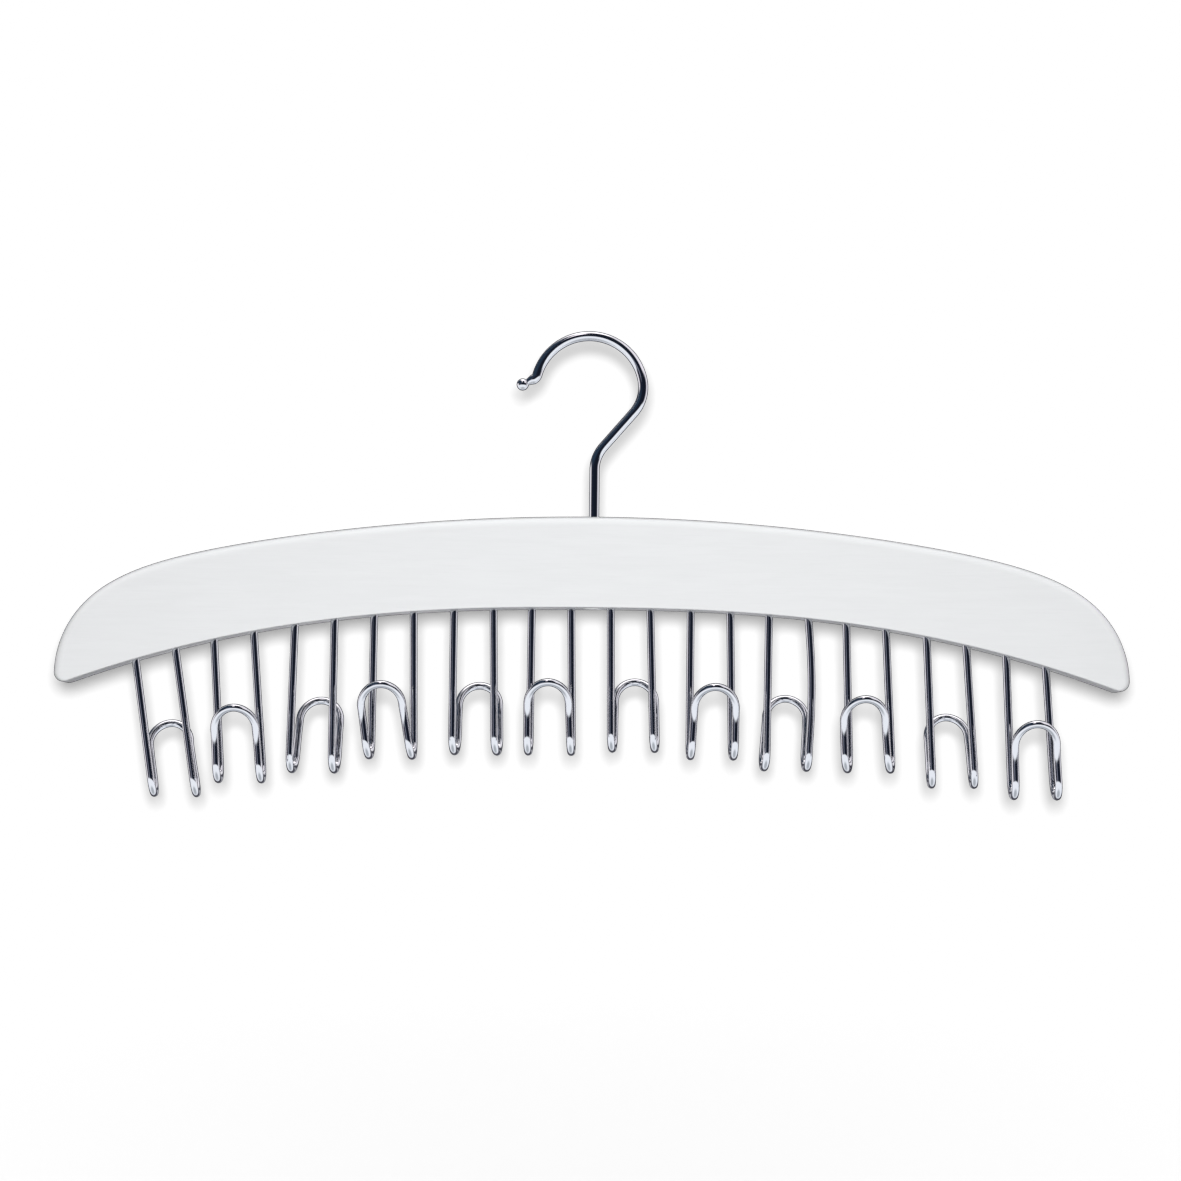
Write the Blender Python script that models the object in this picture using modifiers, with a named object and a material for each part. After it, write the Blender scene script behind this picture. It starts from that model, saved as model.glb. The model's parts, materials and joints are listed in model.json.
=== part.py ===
"""A bow-shaped wooden bar that hangs from a swivelling wire hook and carries twelve wire belt hooks."""

import math

import bmesh
import bpy
from mathutils import Matrix, Vector

# Wooden bar, in metres
BAR_LENGTH = 0.441
BAR_THICKNESS = 0.013
BAR_MIDDLE_HEIGHT = 0.0377
CROWN_DROP = 0.0287
UNDERSIDE_RISE = 0.0342
CORNER_RADIUS = 0.0042
UPPER_ROUNDING = 0.0033
LOWER_ROUNDING = 0.0004
END_POWER = 11.9
UNDERSIDE_POWER = 2.47

# Swivelling rail hook
RAIL_WIRE = 0.0040
ARCH_RADIUS = 0.0225
ARCH_HEIGHT = 0.0536
ARCH_OFFSET = 0.0025
STEM_HEIGHT = 0.0200
STEM_BEND_RADIUS = 0.0147
NECK_LEAN = math.radians(41)
SHOULDER_RADIUS = 0.0164
SHOULDER_ANGLE = math.radians(10)
TIP_ANGLE = math.radians(164.5)
TIP_BEND_RADIUS = 0.0030
TIP_BEND = math.radians(48)
TIP_LENGTH = 0.0050
BALL_RADIUS = 0.00245
NECK_RADIUS = 0.0013
BALL_END = math.radians(168)

# How the rail hook is held in the bar
SWIVEL_CLEARANCE = 0.0003
COUNTERBORE_DEPTH = 0.0070
COUNTERBORE_RADIUS = 0.0044
WASHER_RADIUS = 0.0040
WASHER_THICKNESS = 0.0012
HEAD_RADIUS = 0.0031
HEAD_HEIGHT = 0.0014
HEAD_TAPER = 0.72
HEAD_STEP = 0.0001
STEM_OFFSET = 0.0004

# Belt hooks
HOOK_COUNT = 12
BELT_WIRE = 0.0030
HOLE_PITCH = 0.0163
FOOT_SPACING = 0.0173
LOOP_SPACING = 0.0168
TROUGH_DEPTH = 0.0138
LOOP_FLARE = 0.0064
FLARE_POWER = 3
LEG_INSERTION = 0.0120
HOLE_CLEARANCE = 0.0003

# Each belt hook's shift of its holes in metres, leg lean in degrees, foot shift and loop shift,
# drop below the bar and rise of its loop in metres
HOOK_SHAPES = (
    (-0.0004, 8.9, -0.0013, -0.0016, 0.0585, 0.0323),
    (-0.0009, 4.4, 0.0005, 0.0006, 0.0605, 0.0318),
    (-0.0003, -0.7, 0.0011, 0.0017, 0.0620, 0.0320),
    (-0.0003, 0.3, -0.0013, -0.0033, 0.0600, 0.0316),
    (0.0000, 0.5, 0.0016, 0.0017, 0.0599, 0.0308),
    (-0.0005, 0.3, -0.0007, -0.0009, 0.0607, 0.0308),
    (-0.0005, 1.1, 0.0015, 0.0017, 0.0590, 0.0312),
    (-0.0001, 0.3, 0.0006, 0.0011, 0.0612, 0.0308),
    (-0.0004, -0.3, -0.0005, 0.0004, 0.0633, 0.0320),
    (-0.0011, 1.8, -0.0032, -0.0035, 0.0602, 0.0312),
    (-0.0006, 2.8, 0.0009, 0.0007, 0.0602, 0.0312),
    (-0.0005, 2.6, -0.0005, -0.0005, 0.0566, 0.0320),
)
BOWED_HOOK = 9
LEG_BOW = 0.0012

WIRE_SIDES_SETTING = 4
HOLE_SIDES = 20
WASHER_SIDES = 32
ROUNDING_SEGMENTS = 3
CUTTER_OVERRUN = 0.002
SHARP_ANGLE = math.radians(35)

# Places that follow from the sizes above, with the rail's seat at the origin
HALF_LENGTH = BAR_LENGTH / 2
BAR_TOP = -(ARCH_HEIGHT + ARCH_RADIUS - RAIL_WIRE / 2)
STEM_ORIGIN = Vector((ARCH_OFFSET, 0, BAR_TOP))
BAR_ORIGIN = Vector((ARCH_OFFSET - STEM_OFFSET, 0, BAR_TOP))
HOOK_PITCH = 2 * HOLE_PITCH


def clear_scene():
    for old in list(bpy.data.objects):
        bpy.data.objects.remove(old, do_unlink=True)


def new_collection(name, hidden=False):
    collection = bpy.data.collections.new(name)
    bpy.context.scene.collection.children.link(collection)
    collection.hide_render = hidden
    return collection


def new_material(name, colour, roughness, metallic):
    material = bpy.data.materials.new(name)
    material.use_nodes = True
    shader = material.node_tree.nodes["Principled BSDF"]
    shader.inputs["Base Color"].default_value = (*colour, 1)
    shader.inputs["Roughness"].default_value = roughness
    shader.inputs["Metallic"].default_value = metallic
    material.diffuse_color = (*colour, 1)
    return material


def white_lacquer():
    return new_material("white_lacquer", (0.80, 0.81, 0.82), 0.35, 0.0)


def bright_chrome():
    return new_material("bright_chrome", (0.72, 0.74, 0.78), 0.08, 1.0)


def zinc_steel():
    return new_material("zinc_steel", (0.55, 0.55, 0.56), 0.35, 1.0)


def arc_points(centre, radius, start, end, steps):
    """Points on an arc in the XZ plane, with the angles counted from +X towards +Z."""
    points = []
    for step in range(steps + 1):
        angle = start + (end - start) * step / steps
        points.append(centre + radius * Vector((math.cos(angle), 0, math.sin(angle))))
    return points


def underside_height(x):
    """Height of the bar's lower edge at a distance x from its middle, counted from the bar's top."""
    share = min(abs(x) / HALF_LENGTH, 1.0)
    return -BAR_MIDDLE_HEIGHT - UNDERSIDE_RISE * share**UNDERSIDE_POWER


def underside_angle(x):
    share = min(abs(x) / HALF_LENGTH, 1.0)
    slope = UNDERSIDE_RISE * UNDERSIDE_POWER * share ** (UNDERSIDE_POWER - 1) / HALF_LENGTH
    return math.atan(slope)


def lower_corner():
    """Centre of the bar's lower corner arc, and the distance out at which it leaves the lower edge."""
    start = HALF_LENGTH - CORNER_RADIUS
    for _ in range(12):
        start = HALF_LENGTH - CORNER_RADIUS - CORNER_RADIUS * math.sin(underside_angle(start))
    height = underside_height(start) + CORNER_RADIUS * math.cos(underside_angle(start))
    return Vector((HALF_LENGTH - CORNER_RADIUS, 0, height)), start


def crown_height(share, end_drop):
    """Height of the bar's upper edge at a share of its half length."""
    round_end = 1 - math.sqrt(max(0.0, 1 - share**END_POWER))
    return -CROWN_DROP * share**2 - (end_drop - CROWN_DROP) * round_end


def half_outline():
    """The right half of the bar's outline from its top middle to its bottom middle, with each rounding."""
    centre, corner_start = lower_corner()
    end_drop = -centre.z
    flat_share = 0.84
    flat_steps = 11
    shares = [flat_share * step / flat_steps for step in range(flat_steps)]
    first = math.asin(flat_share ** (END_POWER / 2))
    end_steps = 16
    for step in range(end_steps + 1):
        turn = first + (math.pi / 2 - first) * step / end_steps
        shares.append(math.sin(turn) ** (2 / END_POWER))
    outline = [(HALF_LENGTH * share, crown_height(share, end_drop), UPPER_ROUNDING) for share in shares]

    corner_steps = 7
    leaving = math.pi / 2 + underside_angle(corner_start)
    corner = arc_points(centre, CORNER_RADIUS, 0, -leaving, corner_steps)
    for step, point in enumerate(corner[1:], start=1):
        share = step / corner_steps
        rounding = UPPER_ROUNDING + (LOWER_ROUNDING - UPPER_ROUNDING) * share
        outline.append((point.x, point.z, rounding))

    lower_steps = 14
    for step in range(lower_steps - 1, -1, -1):
        x = corner_start * step / lower_steps
        outline.append((x, underside_height(x), LOWER_ROUNDING))
    return outline


def bar_outline():
    right = half_outline()
    left = [(-x, z, rounding) for x, z, rounding in reversed(right[1:-1])]
    return right + left


def curve_mesh(name, curve):
    """The mesh that a curve makes, with its caps welded on."""
    holder = bpy.data.objects.new(name, curve)
    bpy.context.scene.collection.objects.link(holder)
    graph = bpy.context.evaluated_depsgraph_get()
    mesh = bpy.data.meshes.new_from_object(holder.evaluated_get(graph))
    bpy.data.objects.remove(holder, do_unlink=True)
    mesh.name = name
    welded = bmesh.new()
    welded.from_mesh(mesh)
    bmesh.ops.remove_doubles(welded, verts=welded.verts, dist=1e-6)
    bmesh.ops.recalc_face_normals(welded, faces=welded.faces)
    welded.to_mesh(mesh)
    welded.free()
    return mesh


def slab_mesh(name, outline, thickness):
    """A flat slab in the XZ plane with the outline's shape, whose faces are single polygons."""
    curve = bpy.data.curves.new(name, "CURVE")
    curve.dimensions = "2D"
    curve.fill_mode = "BOTH"
    curve.extrude = thickness / 2
    spline = curve.splines.new("POLY")
    spline.points.add(len(outline) - 1)
    for point, (x, z, _) in zip(spline.points, outline):
        point.co = (x, z, 0, 1)
    spline.use_cyclic_u = True
    mesh = curve_mesh(name, curve)
    mesh.transform(Matrix.Rotation(math.pi / 2, 4, "X"))
    flat = bmesh.new()
    flat.from_mesh(mesh)
    faces = [face for face in flat.faces if abs(face.normal.y) > 0.99]
    bmesh.ops.dissolve_faces(flat, faces=faces)
    flat.to_mesh(mesh)
    flat.free()
    return mesh


def mark_roundings(mesh, outline):
    """Gives each edge of the slab's two faces the rounding that the outline states there."""
    weights = mesh.attributes.new("bevel_weight_edge", "FLOAT", "EDGE")
    count = len(outline)
    middles = []
    for index, (x, z, rounding) in enumerate(outline):
        next_x, next_z, next_rounding = outline[(index + 1) % count]
        middle = Vector(((x + next_x) / 2, 0, (z + next_z) / 2))
        middles.append((middle, min(rounding, next_rounding)))
    for edge in mesh.edges:
        start, end = (mesh.vertices[index].co for index in edge.vertices)
        if abs(start.y - end.y) > BAR_THICKNESS / 2:
            continue
        place = (start + end) / 2
        place.y = 0
        rounding = min(middles, key=lambda entry: (entry[0] - place).length)[1]
        weights.data[edge.index].value = rounding / UPPER_ROUNDING


def add_rounding(obj):
    bevel = obj.modifiers.new("edge_rounding", "BEVEL")
    bevel.limit_method = "WEIGHT"
    bevel.offset_type = "OFFSET"
    bevel.width = UPPER_ROUNDING
    bevel.segments = ROUNDING_SEGMENTS


def leg_ends(index, side):
    """Mouth of a leg's hole, counted from the bar's top, and the foot of the leg above its bend."""
    _, lean, _, _, drop, _ = HOOK_SHAPES[index]
    middle = hook_middle(index)
    mouth_x = middle + side * HOLE_PITCH / 2
    mouth = Vector((mouth_x, 0, underside_height(mouth_x)))
    foot_z = underside_height(middle) - drop + BELT_WIRE / 2 + TROUGH_DEPTH / 2
    foot_x = middle + side * FOOT_SPACING / 2
    foot_x += math.tan(math.radians(lean)) * (underside_height(middle) - foot_z)
    return mouth, Vector((foot_x, 0, foot_z))


def hook_middle(index):
    return (index - (HOOK_COUNT - 1) / 2) * HOOK_PITCH + HOOK_SHAPES[index][0]


def hook_facing(index):
    """Hooks open towards the back and the front by turns, starting with the back."""
    return 1 if index % 2 == 0 else -1


def bowed_leg(top, foot, bow, steps=10):
    """Points from the top of a leg to its foot, bulging sideways by the bow's size."""
    points = []
    for step in range(steps + 1):
        share = step / steps
        point = top.lerp(foot, share)
        point.x += bow * math.sin(math.pi * share)
        points.append(point)
    return points


def belt_hook_side(index, side):
    """One leg of a belt hook with its bend, from the leg's top in the bar to the foot of the loop's end."""
    foot_shift = HOOK_SHAPES[index][2]
    mouth, foot = leg_ends(index, side)
    down = (foot - mouth).normalized()
    top = mouth - down * LEG_INSERTION
    bow = LEG_BOW if index + 1 == BOWED_HOOK and side > 0 else 0
    points = [top] + bowed_leg(mouth, foot, bow) if bow else [top, foot]

    across = Vector((foot_shift, hook_facing(index) * TROUGH_DEPTH, 0))
    loop_foot = foot + across
    up = (loop_top(index, side) - loop_foot).normalized()
    middle = foot + across / 2
    steps = 10
    for step in range(1, steps + 1):
        share = step / steps
        turn = math.pi * share
        drawn = down.lerp(-up, share).normalized()
        points.append(middle - across / 2 * math.cos(turn) + drawn * (TROUGH_DEPTH / 2) * math.sin(turn))
    raised_steps = 5
    loop_end = loop_top(index, side)
    for step in range(1, raised_steps):
        points.append(flared(index, loop_foot.lerp(loop_end, step / raised_steps)))
    return points


def flared(index, point):
    """A point of a raised end, bent away from the legs more and more towards the loop's top."""
    *_, drop, rise = HOOK_SHAPES[index]
    low = underside_height(hook_middle(index)) - drop + (BELT_WIRE + TROUGH_DEPTH) / 2
    high = underside_height(hook_middle(index)) - drop + rise - BELT_WIRE / 2
    share = max(0.0, (point.z - low) / (high - low))
    return point + Vector((0, hook_facing(index) * LOOP_FLARE * share**FLARE_POWER, 0))


def loop_centre(index):
    """Centre of the round arch that joins the two raised ends of a belt hook."""
    _, lean, _, loop_shift, drop, rise = HOOK_SHAPES[index]
    middle = hook_middle(index)
    edge = underside_height(middle)
    height = edge - drop + rise - BELT_WIRE / 2 - LOOP_SPACING / 2
    x = middle + math.tan(math.radians(lean)) * (edge - height) + loop_shift
    return Vector((x, hook_facing(index) * TROUGH_DEPTH, height))


def loop_top(index, side):
    """Where a raised end of a belt hook meets the round arch."""
    return loop_centre(index) + Vector((side * LOOP_SPACING / 2, 0, 0))


def belt_hook_route(index):
    """The whole wire of a belt hook: leg, bend, flared round arch, bend and leg."""
    steps = 14
    arch = [flared(index, point) for point in arc_points(loop_centre(index), LOOP_SPACING / 2, math.pi, 0, steps)]
    return belt_hook_side(index, -1) + arch + belt_hook_side(index, 1)[::-1]


def wire_mesh(name, route, radius):
    """A round wire along the route, where each entry is a point and the share of the radius it has there."""
    curve = bpy.data.curves.new(name, "CURVE")
    curve.dimensions = "3D"
    curve.bevel_depth = radius
    curve.bevel_resolution = WIRE_SIDES_SETTING
    curve.use_fill_caps = True
    curve.twist_mode = "MINIMUM"
    spline = curve.splines.new("POLY")
    spline.points.add(len(route) - 1)
    for point, (place, share) in zip(spline.points, route):
        point.co = (*place, 1)
        point.radius = share
    return curve_mesh(name, curve)


def ball_profile(centre, direction, radius, neck, steps=8):
    """Points along a ball and the wire radius at each, from the neck's edge to just short of the far pole."""
    profile = []
    first = math.asin(neck / radius)
    for step in range(steps + 1):
        turn = first + (BALL_END - first) * step / steps
        place = centre - direction * radius * math.cos(turn)
        profile.append((place, radius * math.sin(turn)))
    return profile


def rail_hook_route():
    """The rail hook's wire from its head under the bar to the ball at its tip, counted from the bar's top."""
    wire = RAIL_WIRE / 2
    ceiling = -BAR_MIDDLE_HEIGHT + COUNTERBORE_DEPTH
    head_top = ceiling - 2 * SWIVEL_CLEARANCE - WASHER_THICKNESS
    head_edge = head_top - HEAD_HEIGHT / 2
    route = [
        (Vector((0, 0, head_top - HEAD_HEIGHT)), HEAD_RADIUS * HEAD_TAPER),
        (Vector((0, 0, head_edge)), HEAD_RADIUS),
        (Vector((0, 0, head_top - HEAD_STEP)), HEAD_RADIUS),
        (Vector((0, 0, head_top)), wire),
    ]
    bend_centre = Vector((STEM_BEND_RADIUS, 0, STEM_HEIGHT))
    stem_bend = arc_points(bend_centre, STEM_BEND_RADIUS, math.pi, math.pi - NECK_LEAN, 7)
    arch_centre = Vector((-ARCH_OFFSET, 0, ARCH_HEIGHT))
    step_in = ARCH_RADIUS - SHOULDER_RADIUS
    shoulder_centre = arch_centre + step_in * Vector((math.cos(SHOULDER_ANGLE), 0, math.sin(SHOULDER_ANGLE)))
    shoulder = arc_points(shoulder_centre, SHOULDER_RADIUS, -NECK_LEAN, SHOULDER_ANGLE, 8)
    arch = arc_points(arch_centre, ARCH_RADIUS, SHOULDER_ANGLE, TIP_ANGLE, 26)
    route += [(point, wire) for point in stem_bend + shoulder + arch[1:]]

    outward = Vector((math.cos(TIP_ANGLE), 0, math.sin(TIP_ANGLE)))
    tip_centre = arch_centre + (ARCH_RADIUS + TIP_BEND_RADIUS) * outward
    facing_in = TIP_ANGLE - math.pi
    tip = arc_points(tip_centre, TIP_BEND_RADIUS, facing_in, facing_in - TIP_BEND, 6)
    route += [(point, wire) for point in tip[1:]]
    heading = (tip[-1] - tip_centre).normalized()
    onward = Vector((heading.z, 0, -heading.x))
    ball_centre = tip[-1] + onward * TIP_LENGTH
    route += ball_profile(ball_centre, onward, BALL_RADIUS, NECK_RADIUS)
    return route


def new_object(name, mesh, collection, material, location):
    obj = bpy.data.objects.new(name, mesh)
    obj.location = location
    collection.objects.link(obj)
    if material:
        mesh.materials.clear()
        mesh.materials.append(material)
    mesh.shade_smooth()
    mesh.set_sharp_from_angle(angle=SHARP_ANGLE)
    return obj


def cylinder_mesh(name, radius, start, end, sides):
    """A cylinder from start to end."""
    mesh = bpy.data.meshes.new(name)
    along = end - start
    solid = bmesh.new()
    bmesh.ops.create_cone(
        solid,
        cap_ends=True,
        segments=sides,
        radius1=radius,
        radius2=radius,
        depth=along.length,
    )
    turn = along.to_track_quat("Z", "Y").to_matrix().to_4x4()
    bmesh.ops.transform(solid, matrix=Matrix.Translation((start + end) / 2) @ turn, verts=solid.verts)
    solid.to_mesh(mesh)
    solid.free()
    return mesh


def round_cutter(name, radius, start, end, collection, origin):
    """A cutter whose flats lie at the radius, so that a round piece of that radius clears them."""
    corner_radius = radius / math.cos(math.pi / HOLE_SIDES)
    mesh = cylinder_mesh(name, corner_radius, start, end, HOLE_SIDES)
    cutter = new_object(name, mesh, collection, None, origin)
    cutter.display_type = "WIRE"
    cutter.hide_render = True
    return cutter


def build_leg_holes(cutters):
    radius = BELT_WIRE / 2 + HOLE_CLEARANCE
    for index in range(HOOK_COUNT):
        for side in (-1, 1):
            mouth, foot = leg_ends(index, side)
            down = (foot - mouth).normalized()
            bottom = mouth - down * (LEG_INSERTION + HOLE_CLEARANCE)
            name = f"leg_hole_{index + 1:02d}_{'left' if side < 0 else 'right'}"
            outside = mouth + down * (CUTTER_OVERRUN + BELT_WIRE)
            round_cutter(name, radius, bottom, outside, cutters, BAR_ORIGIN)


def build_swivel_holes(cutters):
    top = Vector((0, 0, CUTTER_OVERRUN))
    bottom = Vector((0, 0, -BAR_MIDDLE_HEIGHT - CUTTER_OVERRUN))
    ceiling = Vector((0, 0, -BAR_MIDDLE_HEIGHT + COUNTERBORE_DEPTH))
    bore_radius = RAIL_WIRE / 2 + SWIVEL_CLEARANCE
    round_cutter("swivel_bore", bore_radius, bottom, top, cutters, STEM_ORIGIN)
    round_cutter("swivel_counterbore", COUNTERBORE_RADIUS, bottom, ceiling, cutters, STEM_ORIGIN)


def build_wood_bar(collection, cutters):
    outline = bar_outline()
    mesh = slab_mesh("wood_bar", outline, BAR_THICKNESS)
    mark_roundings(mesh, outline)
    bar = new_object("wood_bar", mesh, collection, white_lacquer(), BAR_ORIGIN)
    add_rounding(bar)
    drilling = bar.modifiers.new("drilled_holes", "BOOLEAN")
    drilling.operation = "DIFFERENCE"
    drilling.operand_type = "COLLECTION"
    drilling.collection = cutters
    drilling.solver = "EXACT"
    return bar


def build_swivel_hook(collection, chrome):
    wire = RAIL_WIRE / 2
    route = [(place, radius / wire) for place, radius in rail_hook_route()]
    mesh = wire_mesh("swivel_hook", route, wire)
    return new_object("swivel_hook", mesh, collection, chrome, STEM_ORIGIN)


def build_washer(collection):
    """A flat ring round the rail hook's stem, between its head and the wood."""
    top = -BAR_MIDDLE_HEIGHT + COUNTERBORE_DEPTH - SWIVEL_CLEARANCE
    inner = RAIL_WIRE / 2 + SWIVEL_CLEARANCE
    ring = bmesh.new()
    corners = (
        (inner, top),
        (WASHER_RADIUS, top),
        (WASHER_RADIUS, top - WASHER_THICKNESS),
        (inner, top - WASHER_THICKNESS),
    )
    section = [ring.verts.new((x, 0, z)) for x, z in corners]
    edges = [ring.edges.new((section[index], section[(index + 1) % 4])) for index in range(4)]
    bmesh.ops.spin(
        ring,
        geom=section + edges,
        axis=(0, 0, 1),
        cent=(0, 0, 0),
        angle=2 * math.pi,
        steps=WASHER_SIDES,
        use_merge=True,
    )
    bmesh.ops.remove_doubles(ring, verts=ring.verts, dist=1e-6)
    bmesh.ops.recalc_face_normals(ring, faces=ring.faces)
    mesh = bpy.data.meshes.new("hook_washer")
    ring.to_mesh(mesh)
    ring.free()
    return new_object("hook_washer", mesh, collection, zinc_steel(), STEM_ORIGIN)


def build_belt_hook(index, collection, chrome):
    name = f"belt_hook_{index + 1:02d}"
    middle = hook_middle(index)
    own_origin = Vector((middle, 0, underside_height(middle)))
    route = [(point - own_origin, 1) for point in belt_hook_route(index)]
    mesh = wire_mesh(name, route, BELT_WIRE / 2)
    return new_object(name, mesh, collection, chrome, BAR_ORIGIN + own_origin)


def build_belt_hanger():
    clear_scene()
    parts = new_collection("belt_hanger")
    cutters = new_collection("cutters", hidden=True)
    build_leg_holes(cutters)
    build_swivel_holes(cutters)
    build_wood_bar(parts, cutters)
    chrome = bright_chrome()
    build_swivel_hook(parts, chrome)
    build_washer(parts)
    for index in range(HOOK_COUNT):
        build_belt_hook(index, parts, chrome)


build_belt_hanger()
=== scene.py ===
"""Looks for the belt hanger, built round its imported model, with a plain studio.

The file is laid out as an add-on and run as a script. Everything is in metres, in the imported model's frame.
"""

import json
import math
from collections import namedtuple

import bmesh
import bpy
from mathutils import Matrix, Vector


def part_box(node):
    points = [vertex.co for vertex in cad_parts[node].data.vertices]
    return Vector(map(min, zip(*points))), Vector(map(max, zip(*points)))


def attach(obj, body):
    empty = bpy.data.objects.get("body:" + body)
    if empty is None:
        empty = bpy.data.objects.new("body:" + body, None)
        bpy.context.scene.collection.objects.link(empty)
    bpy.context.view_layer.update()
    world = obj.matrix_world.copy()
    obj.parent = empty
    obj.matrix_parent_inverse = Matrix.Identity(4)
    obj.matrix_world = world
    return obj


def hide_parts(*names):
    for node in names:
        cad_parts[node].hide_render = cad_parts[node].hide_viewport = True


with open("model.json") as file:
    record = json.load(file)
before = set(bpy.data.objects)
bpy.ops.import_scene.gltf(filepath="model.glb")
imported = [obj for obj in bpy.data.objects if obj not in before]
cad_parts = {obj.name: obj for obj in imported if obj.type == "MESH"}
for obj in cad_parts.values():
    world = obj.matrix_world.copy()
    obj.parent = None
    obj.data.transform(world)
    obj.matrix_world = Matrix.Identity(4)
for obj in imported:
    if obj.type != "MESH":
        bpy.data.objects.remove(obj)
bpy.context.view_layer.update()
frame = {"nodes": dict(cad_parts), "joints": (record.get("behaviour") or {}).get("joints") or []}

bl_info = {
    "name": "Belt hanger",
    "version": (1, 0, 0),
    "blender": (4, 5, 0),
    "location": "3D View > Sidebar > Belt hanger",
    "description": "Builds a bow-shaped belt hanger with its wire hooks and a plain studio",
    "category": "Object",
}

BAR_LOW, BAR_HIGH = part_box("wood_bar")
BAR_MIDDLE = Vector(((BAR_LOW.x + BAR_HIGH.x) / 2, 0, BAR_HIGH.z))
SWIVEL = next(joint for joint in frame["joints"] if joint["name"] == "hook_swivel")
STEM = Vector((SWIVEL["pos_m"][0], 0, BAR_HIGH.z))
HOOK_COUNT = sum(name.startswith("belt_hook_") for name in frame["nodes"])

HookShape = namedtuple("HookShape", "hole_shift lean foot_shift loop_shift drop rise")

# How each belt hook is bent, from left to right: the shift of its holes, the lean of its legs in degrees,
# the shifts of its feet and its loop, its drop below the bar and the rise of its loop
HOOK_SHAPES = (
    HookShape(-0.0004, 8.9, -0.0013, -0.0016, 0.0585, 0.0323),
    HookShape(-0.0009, 4.4, 0.0005, 0.0006, 0.0605, 0.0318),
    HookShape(-0.0003, -0.7, 0.0011, 0.0017, 0.0620, 0.0320),
    HookShape(-0.0003, 0.3, -0.0013, -0.0033, 0.0600, 0.0316),
    HookShape(0.0000, 0.5, 0.0016, 0.0017, 0.0599, 0.0308),
    HookShape(-0.0005, 0.3, -0.0007, -0.0009, 0.0607, 0.0308),
    HookShape(-0.0005, 1.1, 0.0015, 0.0017, 0.0590, 0.0312),
    HookShape(-0.0001, 0.3, 0.0006, 0.0011, 0.0612, 0.0308),
    HookShape(-0.0004, -0.3, -0.0005, 0.0004, 0.0633, 0.0320),
    HookShape(-0.0011, 1.8, -0.0032, -0.0035, 0.0602, 0.0312),
    HookShape(-0.0006, 2.8, 0.0009, 0.0007, 0.0602, 0.0312),
    HookShape(-0.0005, 2.6, -0.0005, -0.0005, 0.0566, 0.0320),
)

# Sides of the round wires, and of the holes that are drilled for them
RAIL_HOOK_SIDES = 40
BELT_HOOK_SIDES = 32
LEG_HOLE_SIDES = 32
SWIVEL_BORE_SIDES = 48
WASHER_SIDES = 64

SHARP_ANGLE = math.radians(35)
TINY = 1e-6


def metres(name, description, default):
    """A length that is set in the panel."""
    return bpy.props.FloatProperty(
        name=name, description=description, default=default, min=0, unit="LENGTH", subtype="DISTANCE"
    )


def turned(name, description, degrees):
    """An angle, given here in degrees."""
    return bpy.props.FloatProperty(
        name=name, description=description, default=math.radians(degrees), unit="ROTATION", subtype="ANGLE"
    )


def watts(name, description, default):
    """The power of a lamp."""
    return bpy.props.FloatProperty(name=name, description=description, default=default, min=0, unit="POWER")


def tint(name, description, default):
    """A plain colour."""
    return bpy.props.FloatVectorProperty(
        name=name, description=description, default=default, size=3, min=0, max=1, subtype="COLOR"
    )


class BarSettings(bpy.types.PropertyGroup):
    """Sizes and colour of the wooden bar."""

    length: metres("Length", "From end to end", BAR_HIGH.x - BAR_LOW.x)
    thickness: metres("Thickness", "From the front face to the back face", BAR_HIGH.y - BAR_LOW.y)
    middle_height: metres("Middle height", "Height of the bar at its middle", 0.0377)
    crown_drop: metres("Crown drop", "How far the upper edge falls before its round end", 0.0287)
    underside_drop: metres("Underside drop", "How far the lower edge falls towards an end", 0.0342)
    corner_radius: metres("Corner radius", "Radius of the lower corners", 0.0042)
    upper_rounding: metres("Upper rounding", "Rounding along the upper edges", 0.0033)
    lower_rounding: metres("Lower rounding", "Rounding along the lower edges", 0.0004)
    rim_margin: metres("Rim margin", "Flat rim inside the upper rounding", 0.0003)
    hole_clearance: metres("Hole clearance", "Gap round each wire in its hole", 0.00015)
    hole_chamfer: metres("Hole chamfer", "Chamfer at the mouth of each hole", 0.00025)
    lacquer: tint("Lacquer", "Colour of the lacquer", (0.815, 0.825, 0.835))


class RailHookSettings(bpy.types.PropertyGroup):
    """Sizes of the swivelling hook that hangs on the rail."""

    wire: metres("Wire", "Diameter of the wire", 0.0040)
    arch_radius: metres("Arch radius", "Radius of the arch at the middle of the wire", 0.0225)
    arch_height: metres("Arch height", "Height of the arch's centre over the bar", 0.0536)
    arch_offset: metres("Arch offset", "How far the stem stands right of the arch's centre", 0.0025)
    stem_height: metres("Stem height", "Height of the straight stem over the bar", 0.0200)
    stem_bend_radius: metres("Stem bend radius", "Radius of the bend over the stem", 0.0147)
    neck_lean: turned("Neck lean", "Lean of the straight neck", 41)
    shoulder_radius: metres("Shoulder radius", "Radius of the tighter bend below the arch", 0.0164)
    shoulder_angle: turned("Shoulder angle", "Where the shoulder meets the arch", 10)
    tip_angle: turned("Tip angle", "Where the arch ends", 164.5)
    tip_bend_radius: metres("Tip bend radius", "Radius of the bend before the ball", 0.0030)
    tip_bend: turned("Tip bend", "How far the tip turns outwards", 48)
    tip_length: metres("Tip length", "From the tip's bend to the ball's centre", 0.0050)
    ball_radius: metres("Ball radius", "Radius of the ball end", 0.00245)
    neck_radius: metres("Ball neck radius", "Radius of the wire where it meets the ball", 0.0013)


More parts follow.
